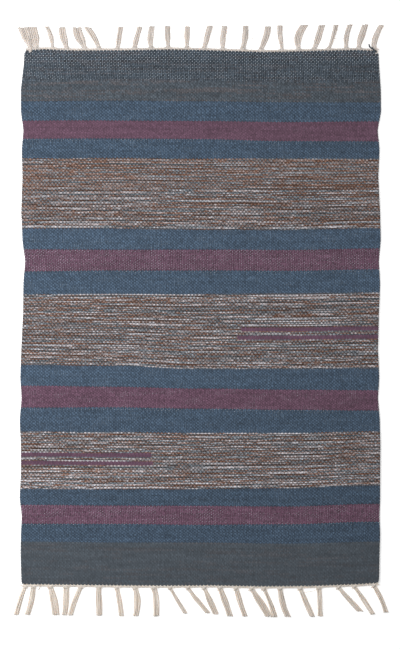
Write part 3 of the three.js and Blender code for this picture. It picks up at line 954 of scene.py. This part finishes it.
def tube(path, radius, sides, plies=0.0, turn=None, closed=False):
    """The rings and faces of a tube along a path. With plies its section has two lobes, which turn
    with the angles in turn. A closed tube joins its last ring to its first."""
    count = len(path)
    ahead = np.roll(path, -1, 0) - np.roll(path, 1, 0) if closed else np.gradient(path, axis=0)
    ahead /= np.linalg.norm(ahead, axis=1)[:, None]
    up = np.tile([0.0, 0.0, 1.0], (count, 1))
    up[np.abs(ahead[:, 2]) > STEEP] = [0.0, 1.0, 0.0]
    side = np.cross(ahead, up)
    side /= np.linalg.norm(side, axis=1)[:, None]
    over = np.cross(side, ahead)
    angle = circle(sides)
    turn = np.zeros(count) if turn is None else turn
    size = radius * (1 + plies * np.cos(2 * (angle[None, :] - turn[:, None])))
    rings = (
        path[:, None]
        + side[:, None] * (np.cos(angle) * size)[..., None]
        + over[:, None] * (np.sin(angle) * size)[..., None]
    )
    index = np.arange(count * sides).reshape(count, sides)
    here, after = (index, np.roll(index, -1, 0)) if closed else (index[:-1], index[1:])
    faces = np.stack([here, np.roll(here, -1, 1), np.roll(after, -1, 1), after], -1).reshape(-1, 4)
    around = (np.arange(sides) / sides)[None, :] * MAP_ROUND
    maps = np.stack(np.broadcast_arrays(around, along_path(path)[:, None] / MM), -1)
    caps = [] if closed else [index[:1, ::-1], index[-1:]]
    return rings.reshape(-1, 3), maps.reshape(-1, 2), [faces, *caps]


# A plied yarn's section: its number of points, and how deep its two lobes are in parts of its radius.
PLIED_SIDES = 8
PLIED_LOBES = 0.14


class Yarns:
    """Collects tubes into one mesh, and gives each its own number for the material."""

    def __init__(self):
        self.points, self.maps, self.faces = [], [], []
        self.offset, self.number = 0, 0

    def add(self, path, radius, sides, **shape):
        points, maps, faces = tube(np.asarray(path, float), radius, sides, **shape)
        self.points.append(points)
        self.maps.append(maps + [self.number, 0])
        self.faces += [f + self.offset for f in faces]
        self.offset += len(points)
        self.number += 1

    def add_plied(self, path, radius, twist, start=0.0):
        """Adds a yarn whose two plies turn once round each other over the length of twist."""
        turn = along_path(path) * 2 * math.pi / twist + start
        self.add(path, radius, PLIED_SIDES, plies=PLIED_LOBES, turn=turn)

    def piece(self, name, material):
        points, maps = np.concatenate(self.points), np.concatenate(self.maps)
        return mesh_piece(name, points, self.faces, [material], "yarn", maps)


# The near fringe takes the cotton that is painted lighter for the weaker light at its end.
def fringe_material(end, colours):
    return yarn_material(f"cotton_{end}_warp_plied", getattr(colours, f"{end}_cotton"))


# How finely a heading is drawn: the rings for each turn of the cord, and the sides of a strand and of a
# warp end.
STEPS_A_TURN = 8
STRAND_SIDES = 6
WARP_SIDES = 5

# The heading cord: its two strands turn once round each other at every second warp, at this part of
# their radius from its middle. It stops short of the cloth's sides and lies just above the floor.
STRAND_FROM_MIDDLE = 0.85
CORD_SHORT_MM = 1.5
CORD_ABOVE_FLOOR_MM = 0.05

# How a warp end leaves the cloth for the heading cord: its radius, then distances past the last pick's
# edge and heights, where it comes out over that pick and where it comes out under it.
WARP_RADIUS_MM = 0.72
WARP_OVER_MM = ((-1.5, -0.6, 0.3, 1.3, 2.2), (2.4, 3.2, 3.3, 2.9, 2.0))
WARP_UNDER_MM = ((-0.9, -0.1, 0.6, 1.5, 2.3), (1.6, 2.4, 3.0, 3.1, 2.4))


class KILIM_OT_headings(Operator):
    """Twists the heading cord along each end of the cloth and leads the warp ends into it"""

    bl_idname = "kilim.headings"
    bl_label = "Heading cords"

    def execute(self, context):
        for end, facts in FRINGES.items():
            edge_of = ClothEnd(facts["direction"])
            cord = Yarns()
            self.twist(context, cord, edge_of)
            self.lead_in(context, cord, edge_of)
            material = fringe_material(end, context.scene.kilim_colours)
            piece = cord.piece(f"{end}_heading_cord", material)
            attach(piece, "root")
            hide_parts(f"{end}_fringe")
        return {"FINISHED"}

    def twist(self, context, cord, edge_of):
        """The two strands of the cord."""
        fringe = context.scene.kilim_fringe
        radius = fringe.cord / 2
        offset = radius * STRAND_FROM_MIDDLE
        steps = STEPS_A_TURN * (context.scene.kilim_weave.warps // 2) + 1
        x = np.linspace(edge_of.left + CORD_SHORT_MM * MM, edge_of.right - CORD_SHORT_MM * MM, steps)
        edge = edge_of.line(x)
        turn = np.arange(steps) * 2 * math.pi / STEPS_A_TURN
        for phase in (turn, turn + math.pi):
            out = fringe.gap + 2 * radius + offset * np.cos(phase)
            z = 2 * radius + CORD_ABOVE_FLOOR_MM * MM + offset * np.sin(phase)
            cord.add(np.stack([x, edge + edge_of.direction * out, z], -1), radius, STRAND_SIDES)

    def lead_in(self, context, cord, edge_of):
        """The warp ends that run from the cloth into the cord."""
        weave = context.scene.kilim_weave
        places = edge_of.across(weave, (np.arange(weave.warps) + 0.5) / weave.warps)
        last_pick = 0 if edge_of.direction > 0 else sum(PICKS) - 1
        for i, (at, line) in enumerate(zip(places, edge_of.line(places))):
            under = (i + last_pick) % 2 == 0
            reach, rise = WARP_UNDER_MM if under else WARP_OVER_MM
            y = line + edge_of.direction * np.array(reach) * MM
            path = np.stack([np.full(len(y), at), y, np.array(rise) * MM], -1)
            cord.add(path, WARP_RADIUS_MM * MM, WARP_SIDES)


def ease(share):
    return share * share * (3 - 2 * share)


# The outermost yarns of a tassel's upper layer lie this many yarns further in than those on the floor.
UPPER_IN = 1.1


def bundle_places(tassel, yarn_mm):
    """Where a tassel's yarns lie: across it from -1 to 1, and in which layer."""
    below = max(round((tassel["spread"] - yarn_mm) / TIP_PITCH_MM) + 1, FEWEST_BELOW)
    floor = [(x, 0) for x in np.linspace(-1, 1, below)]
    inner = 1 - 2 * UPPER_IN / (below - 1)
    return floor + [(x, 1) for x in np.linspace(-inner, inner, below // 2)]


# How a yarn comes through the heading into its knot, from up to this far to the side: at each point the
# part of that distance that is left, how far the point lies in from the knot, and its height.
GATHER_MM = 8.0
INTO_KNOT = ((1.0, 2.6, 2.6), (0.75, 1.2, 2.9), (0.3, 0.6, 3.1))

# Where on its way from knot to tip a tassel has settled on the floor, has its full width, and starts to
# part into locks. An upper layer lies this many yarns above the one below it.
SETTLED_AT = 0.18
FULL_WIDTH_AT = 0.5
PARTS_FROM = 0.35
LAYER_PITCH = 0.8

# How unevenly the tips are cut, and how far at most a yarn strays in one, two and three half waves.
UNEVEN_CUT_MM = 1.6
STRAY_MM = ((1, 0.8), (2, 0.45), (3, 0.2))


def tassel_yarn(tassel, root, facts, fringe, place, random):
    """The path of one yarn of a tassel, from the cloth's end through the knot to its cut tip."""
    across, layer = place
    direction = facts["direction"]
    reach = (facts["reach"] - tassel["trim"] - random.uniform(0, UNEVEN_CUT_MM)) * MM
    # In the heading the yarns come in from both sides of the knot.
    gather = across * GATHER_MM * MM
    start = [
        (root[0] + gather * part, root[1] - direction * inwards * MM, height * MM)
        for part, inwards, height in INTO_KNOT
    ]
    share = np.linspace(0, 1, facts["rings"] - len(start))
    # Towards the tip a yarn draws in to the middle of its lock.
    lock = min(int((across + 1) / 2 * tassel["locks"]), tassel["locks"] - 1)
    middle = (2 * lock + 1) / tassel["locks"] - 1
    parting = ease(np.clip((share - PARTS_FROM) / (1 - PARTS_FROM), 0, 1)) * (tassel["locks"] > 1)
    across = across + (middle - across) * (1 - LOCK_FILLS) * parting
    tight, wide = (tassel[key] * MM - fringe.yarn for key in ("root", "spread"))
    spread = tight + (wide - tight) * ease(np.clip(share / FULL_WIDTH_AT, 0, 1))
    x = root[0] + tassel["lean"] * MM * share + tassel["bow"] * MM * 4 * share * (1 - share)
    x = x + across * spread / 2
    for half_waves, most in STRAY_MM:
        x = x + random.uniform(-most, most) * MM * np.sin(math.pi * half_waves * share)
    y = root[1] + direction * reach * share
    settled = ease(np.clip(share / SETTLED_AT, 0, 1))
    height = fringe.yarn / 2 + layer * fringe.yarn * LAYER_PITCH
    z = fringe.knot_height * (1 - settled) + height * settled
    return np.concatenate([np.array(start), np.stack([x, y, z], -1)])


# The turns of yarn round a knot: where each lies along the tassel, how much wider than the tassel's own
# half width it is, and half its height. They slant this way and that, by an angle between these two,
# and their middles lie a little above the knot's.
KNOT_TURNS_MM = ((-1.1, 0.2, 1.75), (0.1, 0.0, 1.6), (1.2, -0.2, 1.45))
KNOT_SLANT = (0.15, 0.45)
KNOT_STEPS = 14
KNOT_SIDES = 6
KNOT_YARN_RADIUS_MM = 0.8
KNOT_TURNS_UP_MM = 0.25

# A knot is turned towards the tip of its tassel by as much as if that lay this far away.
KNOT_FACES_MM = 90.0


class KILIM_OT_tassels(Operator):
    """Knots the warp ends of each end of the cloth into tassels"""

    bl_idname = "kilim.tassels"
    bl_label = "Knotted tassels"

    def execute(self, context):
        fringe = context.scene.kilim_fringe
        for end, facts in FRINGES.items():
            random = np.random.default_rng(facts["seed"])
            direction = facts["direction"]
            tassels = [dict(zip(TASSEL_COLUMNS, row)) for row in facts["tassels"]]
            places = np.array([t["at"] for t in tassels]) * MM + cloth_middle()
            edges = ClothEnd(direction).line(places)
            bundle = Yarns()
            for tassel, at, edge in zip(tassels, places, edges):
                root = (at, edge + direction * fringe.knot_out)
                for place in bundle_places(tassel, fringe.yarn / MM):
                    path = tassel_yarn(tassel, root, facts, fringe, place, random)
                    own_turn = random.uniform(0, 6)
                    bundle.add_plied(path, fringe.yarn / 2, fringe.twist, own_turn)
                self.wrap(bundle, root, direction, tassel, fringe, random)
            material = fringe_material(end, context.scene.kilim_colours)
            piece = bundle.piece(f"{end}_tassels", material)
            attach(piece, "root")
            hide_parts(f"{end}_fringe")
        return {"FINISHED"}

    def wrap(self, bundle, root, direction, tassel, fringe, random):
        """The turns of yarn round a bundle that make its knot."""
        angle = circle(KNOT_STEPS)
        heading = math.atan2(tassel["lean"], KNOT_FACES_MM)
        for turn, (place, wider, half_height) in enumerate(KNOT_TURNS_MM):
            slant = random.uniform(*KNOT_SLANT) * (1 if turn % 2 else -1)
            x = (tassel["root"] / 2 + wider) * MM * np.cos(angle)
            z = fringe.knot_height + KNOT_TURNS_UP_MM * MM + half_height * MM * np.sin(angle)
            y = place * MM + x * math.tan(slant)
            right = root[0] + x * math.cos(heading) + y * math.sin(heading) * direction
            out = root[1] + direction * (y - x * math.sin(heading))
            path = np.stack([right, out, z], -1)
            bundle.add(path, KNOT_YARN_RADIUS_MM * MM, KNOT_SIDES, closed=True)


def through(points, count):
    """A smooth line through points."""
    points = np.asarray(points, float)
    guides = np.concatenate([[2 * points[0] - points[1]], points, [2 * points[-1] - points[-2]]])
    at = np.linspace(0, len(points) - 1, count)
    k = np.minimum(at.astype(int), len(points) - 2)
    t = (at - k)[:, None]
    a, b, c, d = (guides[k + i] for i in range(4))
    return b + (c - a) * t / 2 + (a - 2.5 * b + 2 * c - d / 2) * t**2 + (1.5 * (b - c) + (d - a) / 2) * t**3


# How many rings a thread has for each point of its path.
RINGS_A_POINT = 6

# How light the stray weft end is, as a part of the woven slate.
STRAY_WEFT_LIGHT = 0.55


class KILIM_OT_loose_ends(Operator):
    """Lays the stray yarns and threads at the two ends of the rug"""

    bl_idname = "kilim.loose_ends"
    bl_label = "Loose ends"

    def execute(self, context):
        fringe, colours = context.scene.kilim_fringe, context.scene.kilim_colours
        middle = cloth_middle()
        for loose in LOOSE_ENDS:
            end, wool = loose["end"], loose["node"] == "woven_cloth"
            direction = FRINGES[end]["direction"]
            edge_of = ClothEnd(direction)
            threads = Yarns()
            for thick, points in loose["threads"]:
                path = through(points, RINGS_A_POINT * len(points)) * MM
                path[:, 0] += middle
                path[:, 1] = edge_of.line(path[:1, 0])[0] + direction * path[:, 1]
                threads.add_plied(path, thick * MM / 2, fringe.twist)
            if wool:
                dark_slate = [STRAY_WEFT_LIGHT * part for part in colours.slate]
                material = yarn_material("wool_slate_plied", dark_slate)
            else:
                material = fringe_material(end, colours)
            piece = threads.piece(loose["name"], material)
            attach(piece, "root")
            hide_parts(loose["node"])
        return {"FINISHED"}


# The camera's lens and sensor, and how far it sees.
CAMERA_LENS_MM = 100.0
SENSOR_MM = 36.0
SEES_TO = 50.0

# The floor's half width, and how far below the rug it lies so that the two don't share a plane.
FLOOR_HALF = 4.0
FLOOR_BELOW_MM = 0.3

# The studio's even light, and its lamps: the place from the cloth's middle, the size and the watts.
SKY_STRENGTH = 0.20
LAMPS = {
    "key_light": ((-0.75, 0.16, 1.0), 0.8, 16.0),
    "fill_light": ((0.65, 0.45, 1.1), 0.8, 5.0),
}


class KILIM_OT_stage(Operator):
    """Sets up the floor, the studio light and the camera above the rug"""

    bl_idname = "kilim.stage"
    bl_label = "Stage"

    def execute(self, context):
        scene = context.scene
        far_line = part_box("woven_cloth")[1].y - FAR_LINE_BELOW_MM * MM
        length = sum(stripe["length"] for stripe in STRIPES) * MM
        centre = Vector((cloth_middle(), far_line - length / 2, 0))
        self.lay_floor(scene)
        self.light(scene, centre)
        self.set_camera(scene, centre + Vector((*PHOTO_MIDDLE_MM, 0)) * MM)
        scene.view_settings.view_transform = "Standard"
        return {"FINISHED"}

    def lay_floor(self, scene):
        mesh = bpy.data.meshes.new("floor")
        corners = [(x * FLOOR_HALF, y * FLOOR_HALF) for x, y in ((-1, -1), (1, -1), (1, 1), (-1, 1))]
        mesh.from_pydata([(x, y, -FLOOR_BELOW_MM * MM) for x, y in corners], [], [(0, 1, 2, 3)])
        mesh.materials.append(floor_material(scene.kilim_colours))
        floor = bpy.data.objects.new("floor", mesh)
        scene.collection.objects.link(floor)

    def light(self, scene, centre):
        world = bpy.data.worlds.new("studio")
        world.use_nodes = True
        world.node_tree.nodes.clear()
        sky = add_node(world.node_tree, "Background", (rgba(WHITE), SKY_STRENGTH))
        add_node(world.node_tree, "OutputWorld", [sky])
        scene.world = world
        for name, (place, size, watts) in LAMPS.items():
            data = bpy.data.lights.new(name, "AREA")
            data.size = size
            data.energy = watts
            lamp = bpy.data.objects.new(name, data)
            lamp.location = Vector(place) + centre
            lamp.rotation_mode = "QUATERNION"
            lamp.rotation_quaternion = (centre - lamp.location).to_track_quat("-Z", "Y")
            scene.collection.objects.link(lamp)

    def set_camera(self, scene, aim):
        """Sets the camera straight above a point, so that its image takes in the photo's frame."""
        # The image's long side spans the sensor, so the height of the photo's frame sets the distance.
        high_mm = PHOTO_WIDE_MM * PHOTO_HIGH_PX / PHOTO_WIDE_PX
        data = bpy.data.cameras.new("camera")
        data.lens = CAMERA_LENS_MM
        data.sensor_width = SENSOR_MM
        data.sensor_fit = "AUTO"
        data.dof.use_dof = False
        data.clip_end = SEES_TO
        camera = bpy.data.objects.new("camera", data)
        camera.location = aim + Vector((0, 0, high_mm * MM * CAMERA_LENS_MM / SENSOR_MM))
        scene.collection.objects.link(camera)
        scene.camera = camera


class KILIM_PT_panel(Panel):
    bl_label = "Kilim rug"
    bl_idname = "KILIM_PT_panel"
    bl_space_type = "VIEW_3D"
    bl_region_type = "UI"
    bl_category = "Kilim"

    def draw(self, context):
        scene = context.scene
        for group in (scene.kilim_weave, scene.kilim_fringe, scene.kilim_colours):
            box = self.layout.box()
            for name in group.__annotations__:
                box.prop(group, name)
        for operator in OPERATORS:
            self.layout.operator(operator.bl_idname)


OPERATORS = (KILIM_OT_stage, KILIM_OT_cloth, KILIM_OT_headings, KILIM_OT_tassels, KILIM_OT_loose_ends)
CLASSES = (KilimWeave, KilimFringe, KilimColours, *OPERATORS, KILIM_PT_panel)


def register():
    for made in CLASSES:
        bpy.utils.register_class(made)
    bpy.types.Scene.kilim_weave = PointerProperty(type=KilimWeave)
    bpy.types.Scene.kilim_fringe = PointerProperty(type=KilimFringe)
    bpy.types.Scene.kilim_colours = PointerProperty(type=KilimColours)


def unregister():
    del bpy.types.Scene.kilim_weave
    del bpy.types.Scene.kilim_fringe
    del bpy.types.Scene.kilim_colours
    for made in reversed(CLASSES):
        bpy.utils.unregister_class(made)


def main():
    register()
    bpy.ops.kilim.stage()
    bpy.ops.kilim.cloth()
    bpy.ops.kilim.headings()
    bpy.ops.kilim.tassels()
    bpy.ops.kilim.loose_ends()


if __name__ == "__main__":
    main()
